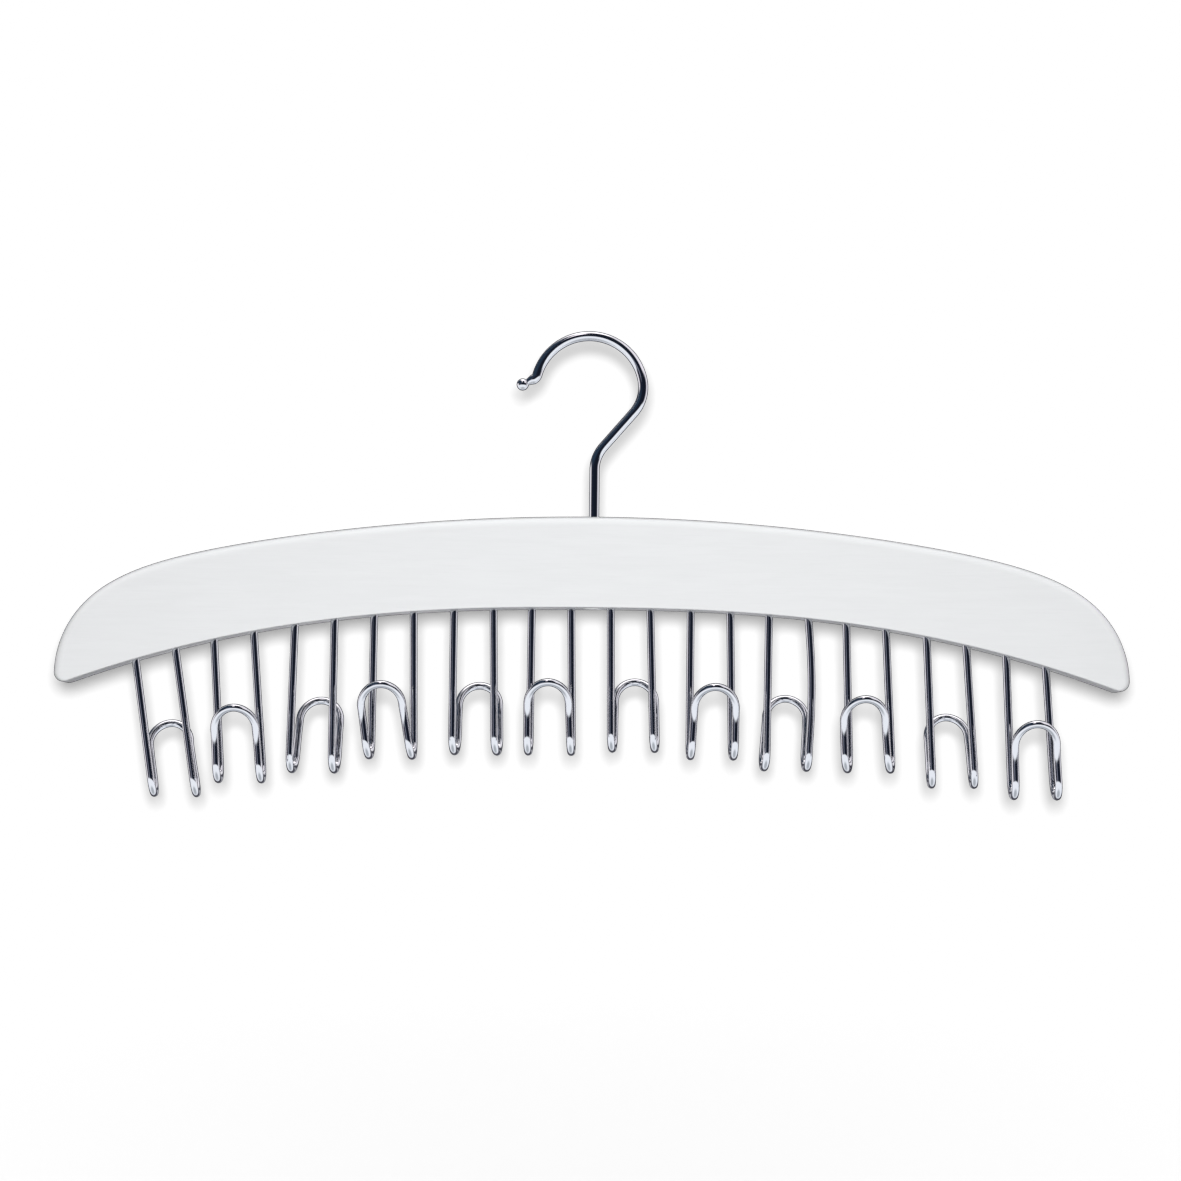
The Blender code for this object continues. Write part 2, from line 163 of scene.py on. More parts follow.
class SwivelSettings(bpy.types.PropertyGroup):
    """Sizes of what holds the rail hook in the bar."""

    clearance: metres("Clearance", "Gap round the stem", 0.0003)
    counterbore_depth: metres("Counterbore depth", "Depth of the pocket under the bar", 0.0070)
    counterbore_radius: metres("Counterbore radius", "Radius of the pocket under the bar", 0.0044)
    washer_radius: metres("Washer radius", "Outer radius of the washer", 0.0040)
    washer_thickness: metres("Washer thickness", "Thickness of the washer", 0.0012)
    washer_rounding: metres("Washer rounding", "Rounding of the washer's rims", 0.0002)
    head_radius: metres("Head radius", "Radius of the head on the stem's end", 0.0031)
    head_height: metres("Head height", "Height of the head on the stem's end", 0.0014)


class BeltHookSettings(bpy.types.PropertyGroup):
    """Sizes that all belt hooks share."""

    wire: metres("Wire", "Diameter of the wire", 0.0030)
    hole_pitch: metres("Hole pitch", "From one hole to the next along the bar", 0.0163)
    foot_spacing: metres("Foot spacing", "From one leg to the other at the bends", 0.0173)
    loop_spacing: metres("Loop spacing", "Width of the round loop between wire middles", 0.0168)
    trough_depth: metres("Trough depth", "From the legs to the raised loop", 0.0138)
    loop_flare: metres("Loop flare", "How far the loop's top leans away from its legs", 0.0064)
    flare_power: bpy.props.FloatProperty(
        name="Flare power", description="How late the flare sets in", default=3.0, min=1
    )
    leg_insertion: metres("Leg insertion", "How deep the legs stand in the bar", 0.0120)
    leg_bow: metres("Leg bow", "Sideways bow of the one bent leg", 0.0012)
    bowed_hook: bpy.props.IntProperty(
        name="Bowed hook", description="Hook with the bent leg, counted from the left", default=9, min=0
    )
    chrome: tint("Chrome", "Tint of the chrome", (0.90, 0.905, 0.925))


class StudioSettings(bpy.types.PropertyGroup):
    """Camera, light and paper sweep."""

    camera_distance: metres("Camera distance", "From the camera to the bar's plane", 0.985)
    camera_drop: metres("Camera drop", "Height of the camera below the bar's top", 0.112)
    camera_side: metres("Camera side", "How far the camera stands right of the stem", 0.0003)
    aim_side: metres("Aim side", "How far the aimed point lies left of the stem", 0.0012)
    aim_drop: metres("Aim drop", "Height of the aimed point below the bar's top", 0.0302)
    tilt: turned("Tilt", "How far the hanger hangs out of level in the picture", 0.55)
    view_width: metres("View width", "Width of the picture at the bar's plane", 0.48764)
    lamp_rise: metres("Lamp rise", "Height of the main lamp over the camera", 0.0168)
    lamp_setback: metres("Lamp setback", "How far the main lamp stands behind the camera", 0.02)
    lamp_aim_drop: metres("Lamp aim", "Height below the bar's top of the point that is lit", 0.03)
    lamp_radius: metres("Lamp radius", "Radius of the main lamp", 0.0210)
    lamp_power: watts("Lamp power", "Power of the main lamp", 8.1)
    back_lamp_radius: metres("Back lamp radius", "Radius of the lamp behind the hanger", 0.3)
    back_lamp_power: watts("Back lamp power", "Power of the lamp behind the hanger", 5.0)
    wall_gap: metres("Wall gap", "From the bar's middle plane to the wall of the sweep", 0.26)
    floor_drop: metres("Floor drop", "From the rail's seat down to the floor", 0.75)
    cove_radius: metres("Cove radius", "Radius of the bend between floor and wall", 0.12)
    reach: metres("Reach", "How far the sweep reaches out", 14.0)


def bar_settings():
    return bpy.context.scene.hanger_bar


def rail_hook_settings():
    return bpy.context.scene.hanger_rail_hook


def swivel_settings():
    return bpy.context.scene.hanger_swivel


def belt_hook_settings():
    return bpy.context.scene.hanger_belt_hooks


def studio_settings():
    return bpy.context.scene.hanger_studio


# Shapes

# Powers of the curves that the bar's upper edge follows near its ends, and its lower edge all along
END_POWER = 11.9
UNDERSIDE_POWER = 2.47

# The head on the stem's end, from below: share of its height down from its top, and share of its radius
HEAD_PROFILE = ((1, 0.72), (0.75, 0.93), (0.5, 1), (0.07, 1))


def outward(angle):
    """Direction at an angle in the XZ plane, counted from +X towards +Z."""
    return Vector((math.cos(angle), 0, math.sin(angle)))


def arc_points(centre, radius, start, end, steps):
    """Points on an arc in the XZ plane, with the angles counted from +X towards +Z."""
    points = []
    for step in range(steps + 1):
        angle = start + (end - start) * step / steps
        points.append(centre + radius * outward(angle))
    return points


def underside_height(x):
    """Height of the bar's lower edge at a distance x from its middle, counted from the bar's top."""
    bar = bar_settings()
    share = min(abs(x) / (bar.length / 2), 1.0)
    return -bar.middle_height - bar.underside_drop * share**UNDERSIDE_POWER


def underside_angle(x):
    """Slope of the bar's lower edge at a distance x from its middle."""
    bar = bar_settings()
    half = bar.length / 2
    share = min(abs(x) / half, 1.0)
    return math.atan(bar.underside_drop * UNDERSIDE_POWER * share ** (UNDERSIDE_POWER - 1) / half)


def lower_corner():
    """Centre of the bar's lower corner arc, and the distance out at which it leaves the lower edge."""
    bar = bar_settings()
    inset = bar.length / 2 - bar.corner_radius
    start = inset
    settling_rounds = 12
    for _ in range(settling_rounds):
        start = inset - bar.corner_radius * math.sin(underside_angle(start))
    height = underside_height(start) + bar.corner_radius * math.cos(underside_angle(start))
    return Vector((inset, 0, height)), start


def upper_half():
    """The bar's upper edge from its middle to its right tip, with the rounding at each point."""
    bar = bar_settings()
    centre, _ = lower_corner()
    flat_share = 0.84
    flat_steps = 45
    end_steps = 36
    first = math.asin(flat_share ** (END_POWER / 2))
    shares = [flat_share * step / flat_steps for step in range(flat_steps)]
    for step in range(end_steps + 1):
        turn = first + (math.pi / 2 - first) * step / end_steps
        shares.append(math.sin(turn) ** (2 / END_POWER))
    edge = []
    for share in shares:
        round_end = 1 - math.sqrt(max(0.0, 1 - share**END_POWER))
        height = -bar.crown_drop * share**2 - (-centre.z - bar.crown_drop) * round_end
        edge.append((bar.length / 2 * share, height, bar.upper_rounding))
    return edge


def lower_half():
    """The bar's lower edge from its middle to the right corner, with the rounding at each point."""
    bar = bar_settings()
    centre, corner_start = lower_corner()
    lower_steps = 60
    corner_steps = 21
    edge = []
    for step in range(lower_steps):
        x = corner_start * step / lower_steps
        edge.append((x, underside_height(x), bar.lower_rounding))
    leaving = math.pi / 2 + underside_angle(corner_start)
    corner = arc_points(centre, bar.corner_radius, -leaving, 0, corner_steps)
    for step, point in enumerate(corner[:-1]):
        share = 1 - step / corner_steps
        rounding = bar.upper_rounding + (bar.lower_rounding - bar.upper_rounding) * share
        edge.append((point.x, point.z, rounding))
    return edge


def both_halves(right):
    """The whole of an edge from its right half, starting at the left."""
    left = [(-x, z, rounding) for x, z, rounding in reversed(right[1:])]
    return left + right


def hook_middle(index):
    """Place along the bar of the point midway between a belt hook's holes."""
    hooks = belt_hook_settings()
    return (index - (HOOK_COUNT - 1) / 2) * 2 * hooks.hole_pitch + HOOK_SHAPES[index].hole_shift


def hook_facing(index):
    """Hooks open towards the back and the front by turns, starting with the back."""
    return 1 if index % 2 == 0 else -1


def leg_ends(index, side):
    """Mouth of a leg's hole, counted from the bar's top, and the foot of the leg above its bend."""
    hooks = belt_hook_settings()
    shape = HOOK_SHAPES[index]
    middle = hook_middle(index)
    mouth_x = middle + side * hooks.hole_pitch / 2
    mouth = Vector((mouth_x, 0, underside_height(mouth_x)))
    foot_z = underside_height(middle) - shape.drop + hooks.wire / 2 + hooks.trough_depth / 2
    foot_x = middle + side * hooks.foot_spacing / 2
    foot_x += math.tan(math.radians(shape.lean)) * (underside_height(middle) - foot_z)
    return mouth, Vector((foot_x, 0, foot_z))


def loop_centre(index):
    """Centre of the round arch that joins the two raised ends of a belt hook."""
    hooks = belt_hook_settings()
    shape = HOOK_SHAPES[index]
    middle = hook_middle(index)
    edge = underside_height(middle)
    height = edge - shape.drop + shape.rise - hooks.wire / 2 - hooks.loop_spacing / 2
    x = middle + math.tan(math.radians(shape.lean)) * (edge - height) + shape.loop_shift
    return Vector((x, hook_facing(index) * hooks.trough_depth, height))


def straight_points(start, end, steps, bow=0.0):
    """Points from start to end, bulging sideways by the bow's size."""
    points = []
    for step in range(steps + 1):
        share = step / steps
        point = start.lerp(end, share)
        point.x += bow * math.sin(math.pi * share)
        points.append(point)
    return points


def belt_hook_side(index, side):
    """One side of a belt hook: the leg from its top in the bar, the bend and the raised end."""
    hooks = belt_hook_settings()
    leg_steps, bend_steps, rise_steps = 16, 28, 14
    mouth, foot = leg_ends(index, side)
    down = (foot - mouth).normalized()
    top = mouth - down * hooks.leg_insertion
    bow = hooks.leg_bow if index + 1 == hooks.bowed_hook and side > 0 else 0.0
    points = [top] + straight_points(mouth, foot, leg_steps, bow)

    across = Vector((HOOK_SHAPES[index].foot_shift, hook_facing(index) * hooks.trough_depth, 0))
    loop_foot = foot + across
    loop_top = loop_centre(index) + Vector((side * hooks.loop_spacing / 2, 0, 0))
    up = (loop_top - loop_foot).normalized()
    middle = foot + across / 2
    for step in range(1, bend_steps + 1):
        share = step / bend_steps
        turn = math.pi * share
        sag = down.lerp(-up, share).normalized() * (hooks.trough_depth / 2) * math.sin(turn)
        points.append(middle - across / 2 * math.cos(turn) + sag)
    rise = straight_points(loop_foot, loop_top, rise_steps)[1:-1]
    return points + [flared(index, point) for point in rise]


def flared(index, point):
    """A point of a raised end, bent away from the legs more and more towards the loop's top."""
    hooks = belt_hook_settings()
    shape = HOOK_SHAPES[index]
    low = underside_height(hook_middle(index)) - shape.drop + (hooks.wire + hooks.trough_depth) / 2
    high = underside_height(hook_middle(index)) - shape.drop + shape.rise - hooks.wire / 2
    share = max(0.0, (point.z - low) / (high - low))
    lean = hook_facing(index) * hooks.loop_flare * share**hooks.flare_power
    return point + Vector((0, lean, 0))


def belt_hook_route(index):
    """The whole wire of a belt hook: leg, bend, round arch, bend and leg."""
    hooks = belt_hook_settings()
    arch_steps = 40
    arch = arc_points(loop_centre(index), hooks.loop_spacing / 2, math.pi, 0, arch_steps)
    arch = [flared(index, point) for point in arch]
    points = belt_hook_side(index, -1) + arch + belt_hook_side(index, 1)[::-1]
    return [(BAR_MIDDLE + point, hooks.wire / 2) for point in points]


def ball_profile(centre, direction, radius, neck):
    """Points along a ball and the wire radius at each, from the neck's edge to the far pole."""
    steps = 20
    profile = []
    first = math.asin(neck / radius)
    last = math.radians(177)
    for step in range(steps + 1):
        turn = first + (last - first) * step / steps
        place = centre - direction * radius * math.cos(turn)
        profile.append((place, radius * math.sin(turn)))
    return profile


def head_top():
    """Height of the upper side of the head on the stem's end, counted from the bar's top."""
    swivel = swivel_settings()
    ceiling = -bar_settings().middle_height + swivel.counterbore_depth
    return ceiling - 2 * swivel.clearance - swivel.washer_thickness


def stem_route():
    """The head under the bar and the stem through it."""
    swivel = swivel_settings()
    wire = rail_hook_settings().wire / 2
    top = head_top()
    head = [
        (Vector((0, 0, top - swivel.head_height * down)), swivel.head_radius * width)
        for down, width in HEAD_PROFILE
    ]
    return head + [(Vector((0, 0, top)), wire), (Vector((0, 0, 0)), wire)]


def arch_centre():
    hook = rail_hook_settings()
    return Vector((-hook.arch_offset, 0, hook.arch_height))


def arch_line():
    """Points along the stem's bend, the straight neck, the shoulder and the arch."""
    hook = rail_hook_settings()
    bend_steps, neck_steps, shoulder_steps, arch_steps = 16, 6, 24, 72
    bend_centre = Vector((hook.stem_bend_radius, 0, hook.stem_height))
    bend = arc_points(bend_centre, hook.stem_bend_radius, math.pi, math.pi - hook.neck_lean, bend_steps)
    inset = (hook.arch_radius - hook.shoulder_radius) * outward(hook.shoulder_angle)
    shoulder = arc_points(
        arch_centre() + inset, hook.shoulder_radius, -hook.neck_lean, hook.shoulder_angle, shoulder_steps
    )
    arch = arc_points(arch_centre(), hook.arch_radius, hook.shoulder_angle, hook.tip_angle, arch_steps)
    neck = straight_points(bend[-1], shoulder[0], neck_steps)[1:-1]
    return bend + neck + shoulder + arch[1:]


def tip_route():
    """The bend at the arch's end, the narrowing wire behind it and the ball."""
    hook = rail_hook_settings()
    wire = hook.wire / 2
    bend_steps, taper_steps = 14, 10
    centre = arch_centre() + (hook.arch_radius + hook.tip_bend_radius) * outward(hook.tip_angle)
    facing_in = hook.tip_angle - math.pi
    bend = arc_points(centre, hook.tip_bend_radius, facing_in, facing_in - hook.tip_bend, bend_steps)[1:]
    end = bend[-1]
    heading = (end - centre).normalized()
    onward = Vector((heading.z, 0, -heading.x))
    ball = ball_profile(end + onward * hook.tip_length, onward, hook.ball_radius, hook.neck_radius)
    taper = (ball[0][0] - end).length
    route = [(point, wire) for point in bend]
    for step in range(1, taper_steps):
        share = step / taper_steps
        narrowing = (1 - math.cos(math.pi * share)) / 2
        route.append((end + onward * taper * share, wire + (hook.neck_radius - wire) * narrowing))
    return route + ball


def rail_hook_route():
    """The rail hook's wire from its head under the bar to the ball at its tip."""
    wire = rail_hook_settings().wire / 2
    route = stem_route() + [(point, wire) for point in arch_line()] + tip_route()
    return [(STEM + point, radius) for point, radius in route]


# Mesh tools


def section_places(route):
    """The place, turn and size of a wire's section at each point of its route, without twist."""
    points = [point for point, _ in route]
    directions = []
    for index in range(len(points)):
        before = points[max(index - 1, 0)]
        after = points[min(index + 1, len(points) - 1)]
        total = Vector()
        for step in (points[index] - before, after - points[index]):
            if step.length > TINY:
                total += step.normalized()
        directions.append(total.normalized())
    turn = Vector((0, 0, 1)).rotation_difference(directions[0])
    places = []
    for index, (point, radius) in enumerate(route):
        if index:
            turn = directions[index - 1].rotation_difference(directions[index]) @ turn
        places.append(Matrix.LocRotScale(point, turn, Vector((radius, radius, 1))))
    return places


def add_wire(mesh, route, sides):
    """Adds a round wire: a capped circle that is extruded from each point of the route to the next."""
    places = section_places(route)
    ring = bmesh.ops.create_circle(mesh, cap_ends=True, radius=1, segments=sides)["verts"]
    bmesh.ops.transform(mesh, matrix=places[0], verts=ring)
    edges = list({edge for vert in ring for edge in vert.link_edges})
    for before, after in zip(places, places[1:]):
        grown = bmesh.ops.extrude_edge_only(mesh, edges=edges)["geom"]
        ring = {item for item in grown if isinstance(item, bmesh.types.BMVert)}
        bmesh.ops.transform(mesh, matrix=after @ before.inverted(), verts=list(ring))
        edges = [
            item
            for item in grown
            if isinstance(item, bmesh.types.BMEdge) and item.verts[0] in ring and item.verts[1] in ring
        ]
    bmesh.ops.contextual_create(mesh, geom=edges)


def finish_mesh(name, working):
    """Turns a bmesh into an object with outward, smooth faces."""
    bmesh.ops.recalc_face_normals(working, faces=working.faces)
    mesh = bpy.data.meshes.new(name)
    working.to_mesh(mesh)
    working.free()
    return mesh_object(name, mesh)


def linked_object(name, data):
    obj = bpy.data.objects.new(name, data)
    bpy.context.scene.collection.objects.link(obj)
    return obj


def mesh_object(name, mesh):
    """An object with smooth faces, and sharp edges where they turn hard."""
    mesh.shade_smooth()
    mesh.set_sharp_from_angle(angle=SHARP_ANGLE)
    return linked_object(name, mesh)


def wire_object(name, route, sides):
    """A round wire along a route."""
    wire = bmesh.new()
    add_wire(wire, route, sides)
    return finish_mesh(name, wire)


def applied_mesh(obj):
    """The mesh of an object with its modifiers applied. The object itself is removed."""
    graph = bpy.context.evaluated_depsgraph_get()
    mesh = bpy.data.meshes.new_from_object(obj.evaluated_get(graph))
    bpy.data.objects.remove(obj, do_unlink=True)
    return mesh


def dress(obj, material, body, slot, *nodes):
    """Gives a piece its material and says which body it rides on and which nodes it stands for."""
    obj.data.materials.clear()
    obj.data.materials.append(material)
    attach(obj, body)
    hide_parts(*nodes)


def add_edge_line(slab, rounding_layer, line):
    """Adds one long edge of the bar's front face as a chain of points that carry their rounding."""
    depth = bar_settings().thickness / 2
    verts = []
    for x, z, rounding in line:
        vert = slab.verts.new(BAR_MIDDLE + Vector((x, -depth, z)))
        vert[rounding_layer] = rounding
        verts.append(vert)
    return [slab.edges.new(pair) for pair in zip(verts, verts[1:])]


def slab_object():
    """The bar as a slab with its long edges rounded, each by its own amount."""
    bar = bar_settings()
    slab = bmesh.new()
    rounding_layer = slab.verts.layers.float.new("rounding")
    upper = add_edge_line(slab, rounding_layer, both_halves(upper_half()))
    lower = add_edge_line(slab, rounding_layer, both_halves(lower_half()))
    front = bmesh.ops.bridge_loops(slab, edges=upper + lower)["faces"]
    rim_width = bar.upper_rounding + bar.rim_margin
    rim = bmesh.ops.inset_region(
        slab, faces=front, thickness=rim_width, use_boundary=True, use_even_offset=True
    )
    grown = bmesh.ops.extrude_face_region(slab, geom=front + rim["faces"])["geom"]
    back = [item for item in grown if isinstance(item, bmesh.types.BMVert)]
    bmesh.ops.translate(slab, verts=back, vec=Vector((0, bar.thickness, 0)))
    weights = slab.edges.layers.float.new("bevel_weight_edge")
    for edge in slab.edges:
        if edge.calc_face_angle() > SHARP_ANGLE:
            edge[weights] = min(vert[rounding_layer] for vert in edge.verts) / bar.upper_rounding
    obj = finish_mesh("slab", slab)
    bevel = obj.modifiers.new("edge_rounding", "BEVEL")
    bevel.limit_method = "WEIGHT"
    bevel.offset_type = "OFFSET"
    bevel.width = bar.upper_rounding
    bevel.segments = 8
    bevel.use_clamp_overlap = False
    return obj


def drill_object():
    """All holes of the bar as one cutter: a blind hole for each leg and the stepped swivel bore."""
    bar = bar_settings()
    hooks = belt_hook_settings()
    swivel = swivel_settings()
    drill = bmesh.new()
    chamfer = bar.hole_chamfer
    leg_overrun = 0.0012
    bore_overrun = 0.0005
    radius = hooks.wire / 2 + bar.hole_clearance
    for index in range(HOOK_COUNT):
        for side in (-1, 1):
            mouth, foot = leg_ends(index, side)
            down = (foot - mouth).normalized()
            mouth = BAR_MIDDLE + mouth
            route = [
                (mouth - down * (hooks.leg_insertion + chamfer), radius),
                (mouth - down * chamfer, radius),
                (mouth + down * leg_overrun, radius + leg_overrun + chamfer),
            ]
            add_wire(drill, route, LEG_HOLE_SIDES)
    radius = rail_hook_settings().wire / 2 + swivel.clearance
    bottom = -bar.middle_height
    ceiling = bottom + swivel.counterbore_depth
    steps = (
        (bore_overrun, radius + chamfer + bore_overrun),
        (-chamfer, radius),
        (ceiling, radius),
        (ceiling, swivel.counterbore_radius),
        (bottom + chamfer, swivel.counterbore_radius),
        (bottom - bore_overrun, swivel.counterbore_radius + chamfer + bore_overrun),
    )
    bore = [(STEM + Vector((0, 0, height)), size) for height, size in steps]
    add_wire(drill, bore, SWIVEL_BORE_SIDES)
    return finish_mesh("drill", drill)


def bar_object():
    """The wooden bar with its rounded edges and drilled holes."""
    slab = slab_object()
    drill = drill_object()
    drilling = slab.modifiers.new("drilling", "BOOLEAN")
    drilling.operation = "DIFFERENCE"
    drilling.solver = "EXACT"
    drilling.object = drill
    bar = mesh_object("lacquered_bar", applied_mesh(slab))
    bpy.data.objects.remove(drill, do_unlink=True)
    flattening = bar.modifiers.new("flat_faces", "WEIGHTED_NORMAL")
    flattening.keep_sharp = True
    return bar


def washer_object():
    """A flat ring with rounded rims round the rail hook's stem."""
    swivel = swivel_settings()
    hook = rail_hook_settings()
    inner = hook.wire / 2 + swivel.clearance
    top = head_top() + swivel.clearance
    ring = bmesh.new()
    middle = (inner + swivel.washer_radius) / 2
    width = swivel.washer_radius - inner
    section = bmesh.ops.create_grid(ring, x_segments=1, y_segments=1, size=0.5)["verts"]
    bmesh.ops.scale(ring, verts=section, vec=Vector((width, swivel.washer_thickness, 1)))
    bmesh.ops.rotate(ring, verts=section, cent=Vector(), matrix=Matrix.Rotation(math.pi / 2, 3, "X"))
    bmesh.ops.translate(ring, verts=section, vec=Vector((middle, 0, top + swivel.washer_thickness / 2)))
    rounding = {"offset": swivel.washer_rounding, "offset_type": "OFFSET", "segments": 3, "profile": 0.5}
    bmesh.ops.bevel(ring, geom=list(ring.verts), affect="VERTICES", material=-1, **rounding)
    bmesh.ops.delete(ring, geom=list(ring.faces), context="FACES_ONLY")
    outline = list(ring.verts) + list(ring.edges)
    whole_turn = {"axis": Vector((0, 0, 1)), "cent": Vector(), "angle": 2 * math.pi, "steps": WASHER_SIDES}
    bmesh.ops.spin(ring, geom=outline, use_merge=True, **whole_turn)
    bmesh.ops.remove_doubles(ring, verts=ring.verts, dist=TINY)
    bmesh.ops.translate(ring, verts=ring.verts, vec=STEM)
    return finish_mesh("retaining_washer", ring)


# Materials

CHROME_NAME = "bright_chrome_wire"

# Shares of the lacquer's colour on the dark and light bands of the grain, in its pores, and in the painted
# shade on the rounding of the upper edges
DARK_BAND, LIGHT_BAND = 0.985, 1.01
PORE_TONE = 0.95
EDGE_SHADE_TONE = 0.72

# Shares of the chrome's colour under cloudy patches and in specks
CLOUD_TONE = 0.96
SPECK_TONE = 0.7

# Heights of the bumps at full strength, in metres
LACQUER_BUMP = 0.00002
CHROME_BUMP = 0.00003
ZINC_BUMP = 0.00001


def link_or_set(tree, socket, value):
    if isinstance(value, bpy.types.NodeSocket):
        tree.links.new(value, socket)
    else:
        socket.default_value = value


def fill(tree, node, entries):
    """Links or sets a node's inputs by their names."""
    for name, entry in entries.items():
        link_or_set(tree, node.inputs[name], entry)


def opaque(colour):
    if isinstance(colour, bpy.types.NodeSocket):
        return colour
    return (*colour, 1)


def add_math(tree, operation, *values, clamp=False):
    node = tree.nodes.new("ShaderNodeMath")
    node.operation = operation
    node.use_clamp = clamp
    for socket, value in zip(node.inputs, values):
        link_or_set(tree, socket, value)
    return node.outputs["Value"]


def add_range(tree, value, low, high, to_low, to_high, interpolation="SMOOTHSTEP"):
    node = tree.nodes.new("ShaderNodeMapRange")
    node.interpolation_type = interpolation
    fill(tree, node, {"Value": value, "From Min": low, "From Max": high, "To Min": to_low, "To Max": to_high})
    return node.outputs["Result"]


def add_mix(tree, factor, first, second):
    """Mixes two colours."""
    node = tree.nodes.new("ShaderNodeMix")
    node.data_type = "RGBA"
    fill(tree, node, {"Factor": factor, "A": opaque(first), "B": opaque(second)})
    return node.outputs["Result"]


def add_noise(tree, vector, scale, detail, roughness=0.5, distortion=0.0):
    node = tree.nodes.new("ShaderNodeTexNoise")
    fill(tree, node, {"Vector": vector, "Scale": scale, "Detail": detail})
    fill(tree, node, {"Roughness": roughness, "Distortion": distortion})
    return node.outputs["Fac"]


def add_stretch(tree, vector, scale):
    """The vector with each axis scaled by its own amount."""
    node = tree.nodes.new("ShaderNodeMapping")
    fill(tree, node, {"Vector": vector, "Scale": scale})
    return node.outputs["Vector"]


def add_split(tree, vector):
    """The vector's X, Y and Z."""
    node = tree.nodes.new("ShaderNodeSeparateXYZ")
    tree.links.new(vector, node.inputs["Vector"])
    return node.outputs


def add_background(tree, colour, strength=1.0):
    node = tree.nodes.new("ShaderNodeBackground")
    fill(tree, node, {"Color": opaque(colour), "Strength": strength})
    return node.outputs["Background"]


def add_shader_mix(tree, factor, first, second):
    node = tree.nodes.new("ShaderNodeMixShader")
    for socket, output in zip(node.inputs, (factor, first, second)):
        tree.links.new(output, socket)
    return node.outputs["Shader"]


def add_bump(tree, shader, height, distance):
    node = tree.nodes.new("ShaderNodeBump")
    fill(tree, node, {"Distance": distance, "Height": height})
    tree.links.new(node.outputs["Normal"], shader.inputs["Normal"])


def pattern_group(name, patterns):
    """A node group with a vector as its input and a value for each named pattern."""
    group = bpy.data.node_groups.new(name, "ShaderNodeTree")
    group.interface.new_socket("Vector", in_out="INPUT", socket_type="NodeSocketVector")
    for pattern in patterns:
        group.interface.new_socket(pattern, in_out="OUTPUT", socket_type="NodeSocketFloat")
    return group, group.nodes.new("NodeGroupInput").outputs["Vector"], group.nodes.new("NodeGroupOutput")


def place_group(tree, group, vector):
    """Puts a pattern group into a material and gives its outputs."""
    node = tree.nodes.new("ShaderNodeGroup")
    node.node_tree = group
    tree.links.new(vector, node.inputs["Vector"])
    return node.outputs


def smudge_group():
    """Soft cloudy patches and fine specks, as handling leaves on a smooth surface."""
    existing = bpy.data.node_groups.get("handling_marks")
    if existing:
        return existing
    group, vector, result = pattern_group("handling_marks", ("Clouds", "Specks"))
    clouds = add_noise(group, vector, scale=38, detail=4, roughness=0.55)
    fine = add_noise(group, vector, scale=1400, detail=2, roughness=0.6)
    fill(group, result, {"Clouds": clouds, "Specks": add_range(group, fine, 0.62, 0.74, 0, 1)})
    return group


def grain_group():
    """Wood grain along X that shows through a lacquer: broad bands and narrow pores."""
    group, vector, result = pattern_group("lacquered_grain", ("Bands", "Pores"))
    band_space = add_stretch(group, vector, (6, 60, 60))
    bands = add_noise(group, band_space, scale=5, detail=5, roughness=0.6, distortion=0.4)
    pore_space = add_stretch(group, vector, (30, 700, 700))
    pores = add_noise(group, pore_space, scale=2, detail=3, roughness=0.65)
    fill(group, result, {"Bands": bands, "Pores": pores})
    return group


def new_material(name):
    """A material with its shader, tree and the Object coordinates that its patterns read."""
    material = bpy.data.materials.new(name)
    material.use_nodes = True
    tree = material.node_tree
    coordinates = tree.nodes.new("ShaderNodeTexCoord")
    return material, tree, tree.nodes["Principled BSDF"], coordinates.outputs["Object"]


def upper_rounding_shade_mask(tree):
    """Where shade is painted: one on the rounding along the upper edges, and nought on the upright faces and
    the flat top.
    """
    _, _, upright = add_split(tree, tree.nodes.new("ShaderNodeNewGeometry").outputs["Normal"])
    leaning = add_range(tree, upright, 0.6, 0.9, 0, 1)
    not_level = add_range(tree, upright, 0.96, 0.995, 1, 0)
    return add_math(tree, "MULTIPLY", leaning, not_level)


def set_roughness(tree, shader, clouds, low, high):
    """Roughness that drifts from low to high with the cloudy patches."""
    tree.links.new(add_range(tree, clouds, 0.3, 0.7, low, high), shader.inputs["Roughness"])


def lacquer_material():
    """White satin lacquer over wood, with the grain just showing and painted shade along the rounding of the
    upper edges.
    """
    material, tree, shader, place = new_material("white_lacquer")
    colour = Vector(bar_settings().lacquer)
    grain = place_group(tree, grain_group(), place)
    clouds = place_group(tree, smudge_group(), place)["Clouds"]
    bands = add_range(tree, grain["Bands"], 0.3, 0.7, 0, 1)
    pores = add_range(tree, grain["Pores"], 0.45, 0.75, 0, 1)
    tone = add_mix(tree, bands, colour * DARK_BAND, colour * LIGHT_BAND)
    tone = add_mix(tree, add_math(tree, "MULTIPLY", pores, 0.35), tone, colour * PORE_TONE)
    patchy = add_range(tree, clouds, 0.3, 0.6, 0.75, 1)
    # Painted shade: the rounding along the upper edges is darkened, more in some patches than in others
    edge_shade = add_math(tree, "MULTIPLY", upper_rounding_shade_mask(tree), patchy)
    tone = add_mix(tree, edge_shade, tone, colour * EDGE_SHADE_TONE)
    tree.links.new(tone, shader.inputs["Base Color"])
    set_roughness(tree, shader, clouds, 0.30, 0.40)
    peel = add_noise(tree, place, scale=420, detail=3)
    height = add_math(tree, "ADD", add_math(tree, "MULTIPLY", pores, -0.6), peel)
    add_bump(tree, shader, height, LACQUER_BUMP)
    return material


